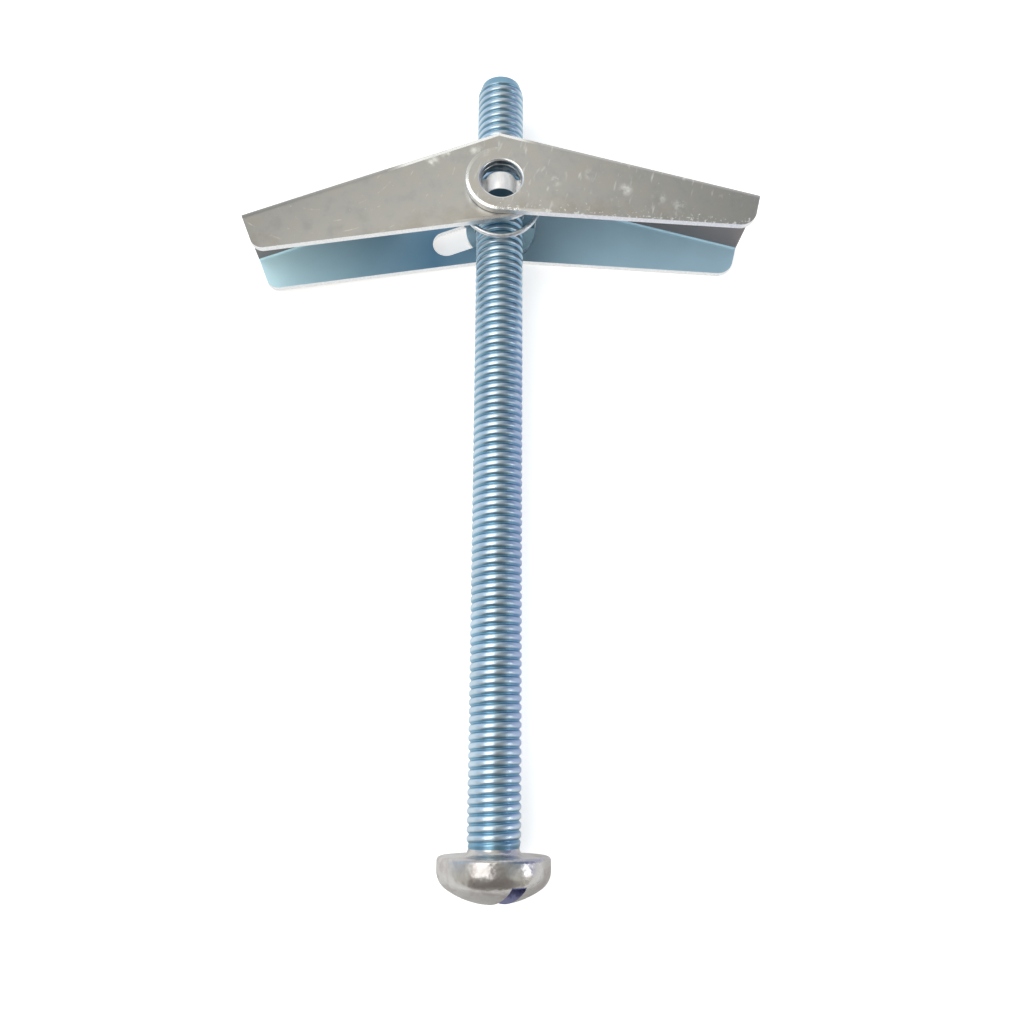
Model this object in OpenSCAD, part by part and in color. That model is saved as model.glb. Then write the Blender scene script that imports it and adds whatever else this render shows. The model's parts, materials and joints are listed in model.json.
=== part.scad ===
// Spring toggle bolt lying flat: a slotted round-head screw, a plate nut
// with two tongues, a torsion spring and two nested folding channel wings.
// Millimetres. The head's underside is y = 0, the screw's tip is +Y,
// the wings spread along X, and Z is up from the floor.

/* [Screw] */
// from the head's underside to the tip
screw_length = 80; // [72:1:98]
// over the thread
thread_diameter = 4.9; // [4.0:0.1:5.9]
// round head
head_diameter = 10.2; // [8.6:0.1:12.4]
// straight part of the head's side
head_side = 1.2; // [0.9:0.1:1.5]
// domed part of the head
head_dome = 2.9; // [2.4:0.1:3.5]
// screwdriver slot
slot_width = 1.4; // [1.1:0.1:1.7]
// screwdriver slot
slot_depth = 1.7; // [1.3:0.1:2.1]
// turn of the slot about the screw, from straight up
slot_turn = 27; // [0:1:90]
// length of the tip's chamfer
tip_chamfer = 1.2; // [0.9:0.1:1.5]

/* [Nut] */
// from the head's underside to the hinge line
hinge_station = 65.3; // [52:0.1:70]
// along the screw
plate_thickness = 2.0; // [1.6:0.1:2.4]
// plate beyond the bore, to each side
plate_margin = 1.4; // [1.1:0.1:1.7]

/* [Wings] */
// pressed sheet
sheet = 0.7; // [0.5:0.05:0.9]
// between the nested wings
nest_gap = 0.1; // [0.08:0.01:0.2]
// hinge holes in the ears
ear_hole = 4.2; // [3.5:0.1:5.0]
// top edges of the ears, below the webs' faces
ear_step = 0.44; // [0.3:0.02:0.6]
// outer wing, hinge line to the end
outer_length = 26.5; // [21.5:0.1:31.5]
// outer wing, web height over the hinge line
outer_top = 5.58; // [5.0:0.02:6.5]
// outer wing, bearing edges under the hinge line
outer_bottom = 3.61; // [3.1:0.01:4.3]
// outer wing, hinge line to the start of the web
outer_web_start = 3.75; // [3.5:0.05:5.0]
// outer wing, corner at the end
outer_corner = 1.8; // [1.2:0.1:2.1]
// outer wing, hinge line to the top corners of its ears
outer_apex = -0.5; // [-0.8:0.1:0.3]
// inner wing, hinge line to the end
inner_length = 26.4; // [22:0.1:32]
// inner wing, web height over the hinge line
inner_top = 6.07; // [5.5:0.01:7.0]
// inner wing, bearing edges under the hinge line
inner_bottom = 3.99; // [3.4:0.01:4.7]
// inner wing, hinge line to the start of the web
inner_web_start = 11.4; // [9.5:0.1:13.5]
// inner wing, corner at the end
inner_corner = 1.3; // [1.0:0.1:1.9]
// inner wing, hinge line to the top corners of its ears
inner_apex = -0.9; // [-1.2:0.1:0.3]
// slot in the inner wing's lower side
side_slot_width = 2.9; // [2.4:0.1:3.4]
// hinge line to the centre of that slot's round end
side_slot_reach = 6.2; // [5.2:0.1:7.4]

/* [Spring] */
// wire
wire = 0.5; // [0.4:0.05:0.6]
// coil centre from the hinge line, toward the head
coil_drop = 1.3; // [1.1:0.1:1.5]
// leg under the outer wing's web, from the hinge line
outer_leg = 11.0; // [9:0.5:13]
// leg under the inner wing's web, from the hinge line
inner_leg = 14.0; // [13.5:0.5:16.5]

/* [Pose] */
// outer wing below square to the screw, in degrees
outer_droop = 2.5; // [0:0.5:10]
// inner wing below square to the screw, in degrees
inner_droop = 9.6; // [0:0.2:12]

/* [Hidden] */
$fn = 96;
shank_r = thread_diameter / 2;
bore_r = shank_r + 0.05;
tip_r = shank_r * 0.8;
tip_length = min(tip_chamfer, screw_length / 4);
head_r = head_diameter / 2;
head_h = head_side + head_dome;
rim_round = 0.4;
round_lap = 0.012;
edge_r = head_dome * 0.655;
edge_x = head_r - edge_r;
dome_r = (edge_x * edge_x + head_dome * head_dome - edge_r * edge_r) / (2 * (head_dome - edge_r));
dome_c = dome_r - head_h;
dome_turn = atan2(edge_x, dome_c + head_side);
spring_room = 2 * wire + 0.35;
inner_in = shank_r + spring_room;
inner_out = inner_in + sheet;
outer_in = inner_out + nest_gap;
outer_out = outer_in + sheet;
bend_out = sheet + 0.2;
bend_in = 0.2;
outer_slope = (outer_top - 0.36) / 26.0;
inner_slope = (inner_top - 0.17) / 26.9;
coil_r = shank_r + 1.55;
plate_half = bore_r + plate_margin;
neck_half = shank_r + 0.25;
neck_reach = inner_in - 0.2;
tongue_half = ear_hole / 2 - 0.6;
tongue_reach = outer_in + 0.4;
wire_sides = 8;
coil_steps = 48;
low_z = shank_r + 0.16 + wire / 2;
high_z = inner_in - 0.10 - wire / 2;

// ---------- screw ----------

// half section of the round head: x is the radius, y runs down to the dome's top
module head_section() {
    union() {
        polygon([[0, 0], [0, -head_side], [head_r, -head_side], [head_r, -rim_round], [head_r - rim_round, 0]]);
        intersection() {
            translate([head_r - rim_round, -rim_round]) circle(r = rim_round);
            translate([head_r - rim_round, -rim_round]) square([rim_round, rim_round]);
        }
        intersection() {
            translate([0, dome_c]) circle(r = dome_r);
            polygon([
                [0, -head_side],
                [0, -head_side - 3 * dome_r * cos(dome_turn)],
                [edge_x + 3 * dome_r * sin(dome_turn), -head_side - 3 * dome_r * cos(dome_turn)],
                [edge_x, -head_side]
            ]);
        }
        intersection() {
            translate([edge_x, -head_side]) circle(r = edge_r);
            polygon([
                [edge_x, -head_side],
                [edge_x + 6 * edge_r * sin(dome_turn), -head_side - 6 * edge_r * cos(dome_turn)],
                [edge_x + 9 * edge_r, -head_side - 6 * edge_r * cos(dome_turn)],
                [edge_x + 9 * edge_r, -head_side]
            ]);
        }
    }
}

module screw() {
    color("#8fb3cf")
    difference() {
        union() {
            rotate([-90, 0, 0]) cylinder(r = shank_r, h = screw_length - tip_length);
            translate([0, screw_length - tip_length, 0])
                rotate([-90, 0, 0]) cylinder(r1 = shank_r, r2 = tip_r, h = tip_length);
            rotate([-90, 0, 0]) rotate_extrude() head_section();
        }
        rotate([0, slot_turn, 0])
            translate([-slot_width / 2, -head_h - 1, -head_r - 1])
                cube([slot_width, slot_depth + 1, 2 * head_r + 2]);
    }
}

// ---------- nut ----------

// plan of the plate: one necked tongue to each side, with a round nose
module nut_plan() {
    union() {
        square([2 * plate_half, 2 * bore_r], center = true);
        square([2 * neck_half, 2 * neck_reach], center = true);
        square([2 * tongue_half, 2 * (tongue_reach - tongue_half)], center = true);
        for (side = [-1, 1]) {
            translate([0, side * (tongue_reach - tongue_half)]) circle(r = tongue_half);
        }
    }
}

module nut() {
    color("#c9ced2")
    translate([0, hinge_station - plate_thickness / 2, 0])
        rotate([-90, 0, 0])
            linear_extrude(height = plate_thickness)
                difference() {
                    nut_plan();
                    circle(r = bore_r);
                }
}

// ---------- wings ----------

// A wing is drawn in its web's frame: x along the web, y = 0 its outer face.
// This turns a point of the hinge frame (u outward, v toward the tip) into it.
function to_web(top, slope, u, v) =
    let (c = cos(atan(slope)), s = sin(atan(slope)))
    [u * c - (v - top) * s, u * s + (v - top) * c];

// how far along the web its square end is
function end_x(length, slope) = length * sqrt(1 + slope * slope);

// the bearing edge's line, in the web's frame
function bearing(top, bottom, slope, x) = [x, slope * x - (top + bottom) * sqrt(1 + slope * slope)];

// centre of the round corner at the end, touching the bearing edge and the square end
function corner_at(length, top, bottom, slope, corner) =
    let (x = end_x(length, slope) - corner)
    [x, bearing(top, bottom, slope, x)[1] + corner * sqrt(1 + slope * slope)];

// side view of the whole wing, left tall over the web for the channel to cut
module wing_side(length, top, bottom, slope, corner, apex) {
    hinge = to_web(top, slope, 0, 0);
    tip = corner_at(length, top, bottom, slope, corner);
    last = end_x(length, slope);
    intersection() {
        union() {
            translate(hinge) circle(r = bottom + round_lap);
            translate(tip) circle(r = corner + round_lap);
            polygon([
                to_web(top, slope, apex, top + 5),
                to_web(top, slope, apex, 0.5),
                hinge,
                to_web(top, slope, 0, -bottom - 3),
                bearing(top, bottom + 3, slope, tip[0] + 3 * sin(atan(slope))),
                tip,
                [last + 3, tip[1]],
                [last + 3, 3]
            ]);
        }
        polygon([
            [-20, 6],
            bearing(top, bottom, slope, -20),
            bearing(top, bottom, slope, last),
            [last, 6]
        ]);
    }
}

// cross section block of a channel with two rounded bends, top face on y = 0
module channel_block(half, bend, depth) {
    union() {
        translate([-half, -depth]) square([2 * half, depth - bend]);
        translate([bend - half, -bend]) square([2 * (half - bend), bend]);
        for (side = [-1, 1]) {
            intersection() {
                translate([side * (half - bend), -bend]) circle(r = bend);
                translate([side * (half - bend / 2), -bend / 2]) square([bend, bend], center = true);
            }
        }
    }
}

// two flat ears, then a bent channel that starts with the web
module bent_sheet(half_out, half_in, length, start) {
    union() {
        for (base = [-half_out, half_in]) {
            translate([-20, -20, base]) cube([20 + start, 20 - ear_step, sheet]);
        }
        translate([start, 0, 0])
            rotate([0, 90, 0])
                linear_extrude(height = length + 10)
                    difference() {
                        channel_block(half_out, bend_out, 20);
                        translate([0, -sheet]) channel_block(half_in, bend_in, 21);
                    }
    }
}

// pressed wing about its hinge line, with x outward along the web
module wing_body(half_out, half_in, length, top, bottom, slope, corner, apex, web_start) {
    intersection() {
        translate([0, 0, -half_out - 1])
            linear_extrude(height = 2 * half_out + 2)
                wing_side(length, top, bottom, slope, corner, apex);
        bent_sheet(half_out, half_in, length, round(100 * web_start / cos(atan(slope))) / 100);
    }
}

module outer_wing() {
    hinge = to_web(outer_top, outer_slope, 0, 0);
    rotate([0, 0, -atan(outer_slope)]) translate([-hinge[0], -hinge[1], 0])
        difference() {
            wing_body(
                outer_out, outer_in, outer_length, outer_top, outer_bottom,
                outer_slope, outer_corner, outer_apex, outer_web_start
            );
            translate([hinge[0], hinge[1], -outer_out - 1]) cylinder(d = ear_hole, h = 2 * outer_out + 2);
        }
}

module inner_wing() {
    hinge = to_web(inner_top, inner_slope, 0, 0);
    rotate([0, 0, -atan(inner_slope)]) translate([-hinge[0], -hinge[1], 0])
        difference() {
            wing_body(
                inner_out, inner_in, inner_length, inner_top, inner_bottom,
                inner_slope, inner_corner, inner_apex, inner_web_start
            );
            translate([hinge[0], hinge[1], -inner_out - 1]) cylinder(d = ear_hole, h = 2 * inner_out + 2);
            translate([hinge[0] + side_slot_reach, hinge[1], -inner_out - 1])
                cylinder(d = side_slot_width, h = sheet + 2);
            translate([hinge[0], hinge[1] - side_slot_width / 2, -inner_out - 1])
                cube([side_slot_reach, side_slot_width, sheet + 2]);
        }
}

module right_wing() {
    color("#b3afa6")
    translate([0, hinge_station, 0]) rotate([0, 0, -outer_droop]) outer_wing();
}

module left_wing() {
    color("#aeaaa2")
    translate([0, hinge_station, 0]) rotate([0, 0, inner_droop]) mirror([1, 0, 0]) inner_wing();
}

// ---------- spring ----------

// a point of a wing's own frame, turned into the hinge frame; side is 1 or -1
function from_wing(side, droop, u, v) =
    [side * (u * cos(droop) + v * sin(droop)), v * cos(droop) - u * sin(droop)];

// where each leg ends, just under its web
function under_web(top, slope, u) = top - slope * u - (sheet + wire / 2 + 0.08) * sqrt(1 + slope * slope);
left_end = from_wing(-1, inner_droop, inner_leg, under_web(inner_top, inner_slope, inner_leg));
right_end = from_wing(1, outer_droop, outer_leg, under_web(outer_top, outer_slope, outer_leg));

// the tangent from a leg's end to the top of the coil, as an angle about the coil's centre
function tangent_angle(end, side) =
    atan2(end[1] + coil_drop, end[0]) - side * -1 * acos(coil_r / norm([end[0], end[1] + coil_drop]));
start_angle = tangent_angle(left_end, -1);
stop_angle = tangent_angle(right_end, 1) - 360;

function coil_point(a, z) = [coil_r * cos(a), coil_r * sin(a) - coil_drop, z];
function coil_way(i) = i / coil_steps;
wire_path = concat(
    [[left_end[0], left_end[1], low_z]],
    [for (i = [0:coil_steps]) coil_point(start_angle + (stop_angle - start_angle) * coil_way(i), low_z + (high_z - low_z) * coil_way(i))],
    [[right_end[0], right_end[1], high_z]]
);

function unit(v) = v / norm(v);
function way_at(p, i) = unit(p[min(i + 1, len(p) - 1)] - p[max(i - 1, 0)]);

// one ring of the wire: its own up direction is Z made square to the way
function ring_point(p, i, k) =
    let (t = way_at(p, i))
    let (n = unit(cross([0, 0, 1], t)))
    let (b = cross(t, n))
    p[i] + (wire / 2) * (cos(360 * k / wire_sides) * n + sin(360 * k / wire_sides) * b);

module spring() {
    rings = len(wire_path);
    points = [for (i = [0:rings - 1]) for (k = [0:wire_sides - 1]) ring_point(wire_path, i, k)];
    walls = [
        for (i = [0:rings - 2]) for (k = [0:wire_sides - 1])
            [
                i * wire_sides + k,
                (i + 1) * wire_sides + k,
                (i + 1) * wire_sides + (k + 1) % wire_sides,
                i * wire_sides + (k + 1) % wire_sides
            ]
    ];
    first_end = [for (k = [0:wire_sides - 1]) k];
    last_end = [for (k = [wire_sides - 1:-1:0]) (rings - 1) * wire_sides + k];
    color("#9aa3ab")
    translate([0, hinge_station, 0])
        polyhedron(points = points, faces = concat(walls, [first_end], [last_end]), convexity = 6);
}

screw();
nut();
spring();
left_wing();
right_wing();
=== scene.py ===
import json
import math

import bmesh
import bpy
from mathutils import Matrix, Vector


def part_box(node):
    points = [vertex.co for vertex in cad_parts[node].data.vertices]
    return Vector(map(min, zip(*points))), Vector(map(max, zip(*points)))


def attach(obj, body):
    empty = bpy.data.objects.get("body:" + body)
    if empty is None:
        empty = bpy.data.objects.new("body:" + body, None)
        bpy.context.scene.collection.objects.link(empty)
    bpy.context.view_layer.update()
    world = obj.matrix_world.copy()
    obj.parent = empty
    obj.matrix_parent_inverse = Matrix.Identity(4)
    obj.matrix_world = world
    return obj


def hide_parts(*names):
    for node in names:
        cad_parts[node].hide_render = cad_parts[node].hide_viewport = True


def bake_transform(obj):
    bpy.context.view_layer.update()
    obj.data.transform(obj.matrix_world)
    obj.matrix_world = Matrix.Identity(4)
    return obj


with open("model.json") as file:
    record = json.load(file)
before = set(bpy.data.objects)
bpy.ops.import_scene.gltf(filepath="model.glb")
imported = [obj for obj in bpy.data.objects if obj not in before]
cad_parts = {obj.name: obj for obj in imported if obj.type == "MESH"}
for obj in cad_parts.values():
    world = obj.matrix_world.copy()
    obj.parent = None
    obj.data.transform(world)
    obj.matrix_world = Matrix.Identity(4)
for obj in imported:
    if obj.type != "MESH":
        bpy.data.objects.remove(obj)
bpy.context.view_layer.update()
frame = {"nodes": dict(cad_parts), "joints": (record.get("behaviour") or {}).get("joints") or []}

bl_info = {
    "name": "Spring Toggle Bolt",
    "version": (1, 0, 0),
    "blender": (4, 5, 0),
    "location": "View3D > Sidebar > Toggle Bolt",
    "description": "Builds the looks of a spring toggle bolt round its packed frame",
    "category": "Object",
}

MM = 0.001
JOINTS = {joint["name"]: joint for joint in frame["joints"]}
HINGE = Vector(JOINTS["left_fold"]["pos_m"]) / MM
RIGHT_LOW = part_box("right_wing")[0] / MM
SCREW_LOW, SCREW_HIGH = (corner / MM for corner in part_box("screw"))
# sizes in mm that several pieces share
CREST_RADIUS = 2.45
INNER_HALF, OUTER_HALF = 3.8, 4.6  # half widths between the sides of each wing
INNER_END, OUTER_END = 3.99, 3.61  # radii of the ears' round ends


# ---------------------------------------------------------------- colours

def linear(code):
    """An sRGB hex colour as the linear colour that Blender's shaders take."""
    parts = [int(code[i:i + 2], 16) / 255 for i in (1, 3, 5)]
    return tuple(c / 12.92 if c <= 0.04045 else ((c + 0.055) / 1.055) ** 2.4 for c in parts) + (1.0,)


def mm_property(name, description, default, low, high):
    """A length in millimetres, shown as such."""
    return bpy.props.FloatProperty(
        name=name, description=description + ", in mm", default=default, min=low, max=high,
        subtype="DISTANCE_CAMERA")


def colour_property(name, description, code):
    """The base colour of a finish, from its sRGB hex."""
    return bpy.props.FloatVectorProperty(
        name=name, description=description, default=linear(code), min=0, max=1, size=4, subtype="COLOR")


class ToggleBoltSizes(bpy.types.PropertyGroup):
    """Sizes of what the frame leaves plain."""

    pitch: mm_property("Thread pitch", "From one crest to the next", 0.8, 0.4, 2.0)
    thread_depth: mm_property("Thread depth", "From crest to root", 0.2, 0.1, 1.2)
    thread_clear: mm_property("Thread run-out", "Plain neck between the head and the thread", 0.8, 0.0, 5.0)
    tip_chamfer: mm_property("Tip chamfer", "Length of the chamfer at the tip", 1.2, 0.2, 4.0)
    tip_radius: mm_property("Tip radius", "Radius of the flat end of the tip", 2.05, 0.5, 2.4)
    neck_fillet: mm_property("Neck fillet", "Fillet between the shank and the head", 0.7, 0.1, 1.5)
    slot_width: mm_property("Slot width", "Width of the screwdriver slot", 1.4, 0.6, 2.5)
    slot_depth: mm_property("Slot depth", "Depth of the screwdriver slot", 1.7, 0.5, 2.5)
    slot_turn: bpy.props.FloatProperty(
        name="Slot turn", description="Turn of the slot about the screw, from straight up",
        default=math.radians(27), subtype="ANGLE")
    edge_break: mm_property(
        "Edge break", "Radius left by tumbling and plating, less where short edges clamp it", 0.08, 0.01, 0.2)
    wire: mm_property("Spring wire", "Diameter of the wire", 0.5, 0.2, 1.0)
    coil_radius: mm_property("Coil radius", "To the middle of the wire", 4.0, 3.0, 5.0)
    coil_drop: mm_property("Coil drop", "Coil centre from the hinge line toward the head", 1.3, 0.0, 3.0)


class ToggleBoltColours(bpy.types.PropertyGroup):
    """The base colours of the finishes."""

    screw_crest: colour_property("Screw crests", "Blue zinc on the crests", "#D6E8F4")
    # the roots' deeper blue is partly painted shade and partly the thicker blue film
    screw_root_film_and_painted_shade: colour_property("Screw roots", "Deeper blue zinc in the roots", "#8AB6CE")
    head: colour_property("Screw head", "Zinc over the cold-headed dome", "#CFCDCA")
    wing_outside: colour_property("Wing outside", "Satin zinc that has rubbed in the box", "#C5C4BF")
    wing_inside: colour_property("Wing inside", "Blue zinc that nothing has rubbed", "#D3F5FD")
    # painted shade: the web's underside is a darker, duller copy of the channel's zinc
    web_underside_painted_shade: colour_property("Web underside", "Thin web underside in painted shade", "#888282")
    cut_edge: colour_property("Cut edge", "Sheared edge, plated bright", "#F7F8F8")
    nut: colour_property("Nut", "Stamped and plated plate", "#FBFBF9")
    spring: colour_property("Spring", "Drawn and plated wire", "#EEF3F5")
    floor: colour_property("Floor", "Plain white sweep", "#F6F6F5")


# ---------------------------------------------------------------- shared helpers

def add_node(tree, kind, settings=None, links=None):
    """Adds one shader node: settings are its properties and unlinked inputs, links are what feeds its inputs.

    A link comes from a socket, or from a node, which stands for its first output.
    """
    node = tree.nodes.new("ShaderNode" + kind)
    for key, value in (settings or {}).items():
        if isinstance(key, str) and hasattr(node, key):
            setattr(node, key, value)
        else:
            node.inputs[key].default_value = value
    for key, source in (links or {}).items():
        socket = source.outputs[0] if isinstance(source, bpy.types.Node) else source
        tree.links.new(socket, node.inputs[key])
    return node


def new_material(name):
    """A node material with an empty tree, the tree, and object coordinates in millimetres.

    In those coordinates every pattern's scale is one over a real size.
    """
    material = bpy.data.materials.new(name)
    material.use_nodes = True
    tree = material.node_tree
    tree.nodes.clear()
    place = add_node(tree, "TexCoord")
    mm = add_node(tree, "VectorMath", {"operation": "SCALE", "Scale": 1 / MM}, {0: place.outputs["Object"]})
    return material, tree, mm


def new_piece(name, bm, materials, smooth_angle=35):
    """Turns a bmesh drawn in millimetres into a piece in metres, smooth but for its sharp edges."""
    mesh = bpy.data.meshes.new(name)
    bmesh.ops.recalc_face_normals(bm, faces=bm.faces)
    for face in bm.faces:
        face.smooth = True
    limit = math.radians(smooth_angle)
    for edge in bm.edges:
        edge.smooth = edge.calc_face_angle(0.0) < limit
    bm.to_mesh(mesh)
    bm.free()
    mesh.transform(Matrix.Scale(MM, 4))
    for material in materials:
        mesh.materials.append(material)
    piece = bpy.data.objects.new(name, mesh)
    bpy.context.scene.collection.objects.link(piece)
    return piece


def even_flats(piece):
    """Keeps the shading of the flats flat, so that only the broken edges carry the turn."""
    weigh = piece.modifiers.new("even flats", "WEIGHTED_NORMAL")
    weigh.mode = "FACE_AREA"
    weigh.weight = 100
    weigh.keep_sharp = True


def frame_copy(node):
    """The frame's node as a bmesh in millimetres, its flat faces joined up again."""
    bm = bmesh.new()
    bm.from_mesh(frame["nodes"][node].data)
    bmesh.ops.transform(bm, matrix=Matrix.Scale(1 / MM, 4), verts=bm.verts)
    bmesh.ops.remove_doubles(bm, verts=bm.verts, dist=0.0005)
    bmesh.ops.dissolve_limit(
        bm, angle_limit=math.radians(0.4), use_dissolve_boundaries=False, verts=bm.verts, edges=bm.edges,
        delimit=set())
    return bm


def sharp_edges(bm, angle=40):
    """Every edge where two faces meet at more than the angle."""
    return [e for e in bm.edges if len(e.link_faces) == 2 and e.calc_face_angle(0.0) > math.radians(angle)]


def break_edges(bm, edges, radius, segments=2):
    """Rounds the edges, as tumbling and plating do.

    The shortest edge near by clamps the radius of the whole set, so one sliver leaves all of it almost sharp.
    """
    bmesh.ops.bevel(
        bm, geom=edges, offset=radius, offset_type="OFFSET", segments=segments, profile=0.5, affect="EDGES",
        clamp_overlap=True)


# ---------------------------------------------------------------- finishes

def screw_zinc(colours):
    """Rolled steel thread, electroplated with blue-passivated zinc.

    Pale crests and deeper blue in the roots: painted shade there, along with the thicker film; and a faint cloudy
    unevenness.
    """
    material, tree, mm = new_material("blue zinc plate on rolled thread")
    split = add_node(tree, "SeparateXYZ", None, {0: mm})
    across = add_node(tree, "CombineXYZ", None, {"X": split.outputs["X"], "Z": split.outputs["Z"]})
    radius = add_node(tree, "VectorMath", {"operation": "LENGTH"}, {0: across})
    # deeper blue up to 2.33 mm on the flanks, pale from 2.445 mm, just under the crests: painted shade in the roots,
    # with the thicker film there
    height = add_node(tree, "MapRange", {"From Min": 2.33, "From Max": 2.445}, {"Value": radius.outputs["Value"]})
    # clouds about 3 mm across
    cloud = add_node(tree, "TexNoise", {"Scale": 1 / 3.0, "Detail": 4.0, "Roughness": 0.6}, {"Vector": mm})
    # rubbed places about 1.5 mm across; the plate's own grain is too fine to show
    speck = add_node(tree, "TexNoise", {"Scale": 1 / 1.5, "Detail": 2.0}, {"Vector": mm})
    # roots painted darker by depth: painted shade, with the thicker film there
    tint = add_node(tree, "Mix", {"data_type": "RGBA", 6: colours.screw_root_film_and_painted_shade, 7: colours.screw_crest}, {0: height})
    shade = add_node(tree, "MapRange", {"From Min": 0.3, "From Max": 0.7, "To Min": 0.85, "To Max": 1.0},
                     {"Value": cloud.outputs["Fac"]})
    colour = add_node(tree, "VectorMath", {"operation": "SCALE"}, {0: tint.outputs[2], "Scale": shade})
    rough = add_node(tree, "MapRange", {"From Min": 0.35, "From Max": 0.7, "To Min": 0.33, "To Max": 0.4},
                     {"Value": speck.outputs["Fac"]})
    shader = add_node(tree, "BsdfPrincipled", {"Metallic": 1.0}, {"Base Color": colour, "Roughness": rough})
    add_node(tree, "OutputMaterial", None, {"Surface": shader})
    return material


def head_zinc(sizes, colours):
    """Cold-headed steel under bright zinc: smooth but dented by handling, with cloudy brown stains.

    The slot's inside is painted a darker blue: painted shade in the slot, over the blue of the passivation that
    nothing rubs there.
    """
    material, tree, mm = new_material("bright zinc plate on cold-headed steel")
    # stains about 2.5 mm across
    cloud = add_node(tree, "TexNoise", {"Scale": 1 / 2.5, "Detail": 5.0, "Roughness": 0.62, "Distortion": 0.6},
                     {"Vector": mm})
    # handling dents about 1.2 mm across
    dent = add_node(tree, "TexNoise", {"Scale": 1 / 1.2, "Detail": 2.0}, {"Vector": mm})
    # plating grain about 0.15 mm across
    grain = add_node(tree, "TexNoise", {"Scale": 1 / 0.15, "Detail": 2.0}, {"Vector": mm})
    stain = add_node(tree, "MapRange", {"From Min": 0.5, "From Max": 0.72, "To Max": 0.55},
                     {"Value": cloud.outputs["Fac"]})
    stained = add_node(tree, "Mix", {"data_type": "RGBA", 6: colours.head, 7: linear("#8A7672")}, {0: stain})
    # inside the slot, where its painted shade goes: near its middle plane, and not beyond its floor
    across = add_node(tree, "VectorMath",
                      {"operation": "DOT_PRODUCT", 1: (math.cos(sizes.slot_turn), 0.0, -math.sin(sizes.slot_turn))},
                      {0: mm})
    away = add_node(tree, "Math", {"operation": "ABSOLUTE"}, {0: across.outputs["Value"]})
    near = add_node(tree, "Math", {"operation": "LESS_THAN", 1: sizes.slot_width / 2 + 0.02}, {0: away})
    split = add_node(tree, "SeparateXYZ", None, {0: mm})
    above = add_node(tree, "Math", {"operation": "LESS_THAN", 1: SCREW_LOW.y + sizes.slot_depth + 0.06},
                     {0: split.outputs["Y"]})
    inside = add_node(tree, "Math", {"operation": "MULTIPLY"}, {0: near, 1: above})
    # painted shade in the slot, dark blue-purple
    colour = add_node(tree, "Mix", {"data_type": "RGBA", 7: linear("#7A7CA0")}, {0: inside, 6: stained.outputs[2]})
    rough = add_node(tree, "MapRange", {"From Min": 0.3, "From Max": 0.7, "To Min": 0.24, "To Max": 0.36},
                     {"Value": cloud.outputs["Fac"]})
    dented = add_node(tree, "Bump", {"Strength": 0.8, "Distance": 0.00014}, {"Height": dent.outputs["Fac"]})
    bump = add_node(tree, "Bump", {"Strength": 0.15, "Distance": 0.00002},
                    {"Height": grain.outputs["Fac"], "Normal": dented})
    shader = add_node(tree, "BsdfPrincipled", {"Metallic": 1.0},
                      {"Base Color": colour.outputs[2], "Roughness": rough, "Normal": bump})
    add_node(tree, "OutputMaterial", None, {"Surface": shader})
    return material


def smudges(tree, mm, places, size):
    """A soft mask round each place (x, y) in mm, on both sides of the piece."""
    mask = None
    flat = add_node(tree, "VectorMath", {"operation": "MULTIPLY", 1: (1.0, 1.0, 0.0)}, {0: mm})
    for x, y in places:
        away = add_node(tree, "VectorMath", {"operation": "DISTANCE", 1: (x, y, 0.0)}, {0: flat})
        spot = add_node(tree, "MapRange",
                        {"interpolation_type": "SMOOTHSTEP", "From Min": size, "From Max": size * 0.2},
                        {"Value": away.outputs["Value"]})
        if mask is None:
            mask = spot
        else:
            mask = add_node(tree, "Math", {"operation": "MAXIMUM"}, {0: mask, 1: spot})
    return mask


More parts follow.
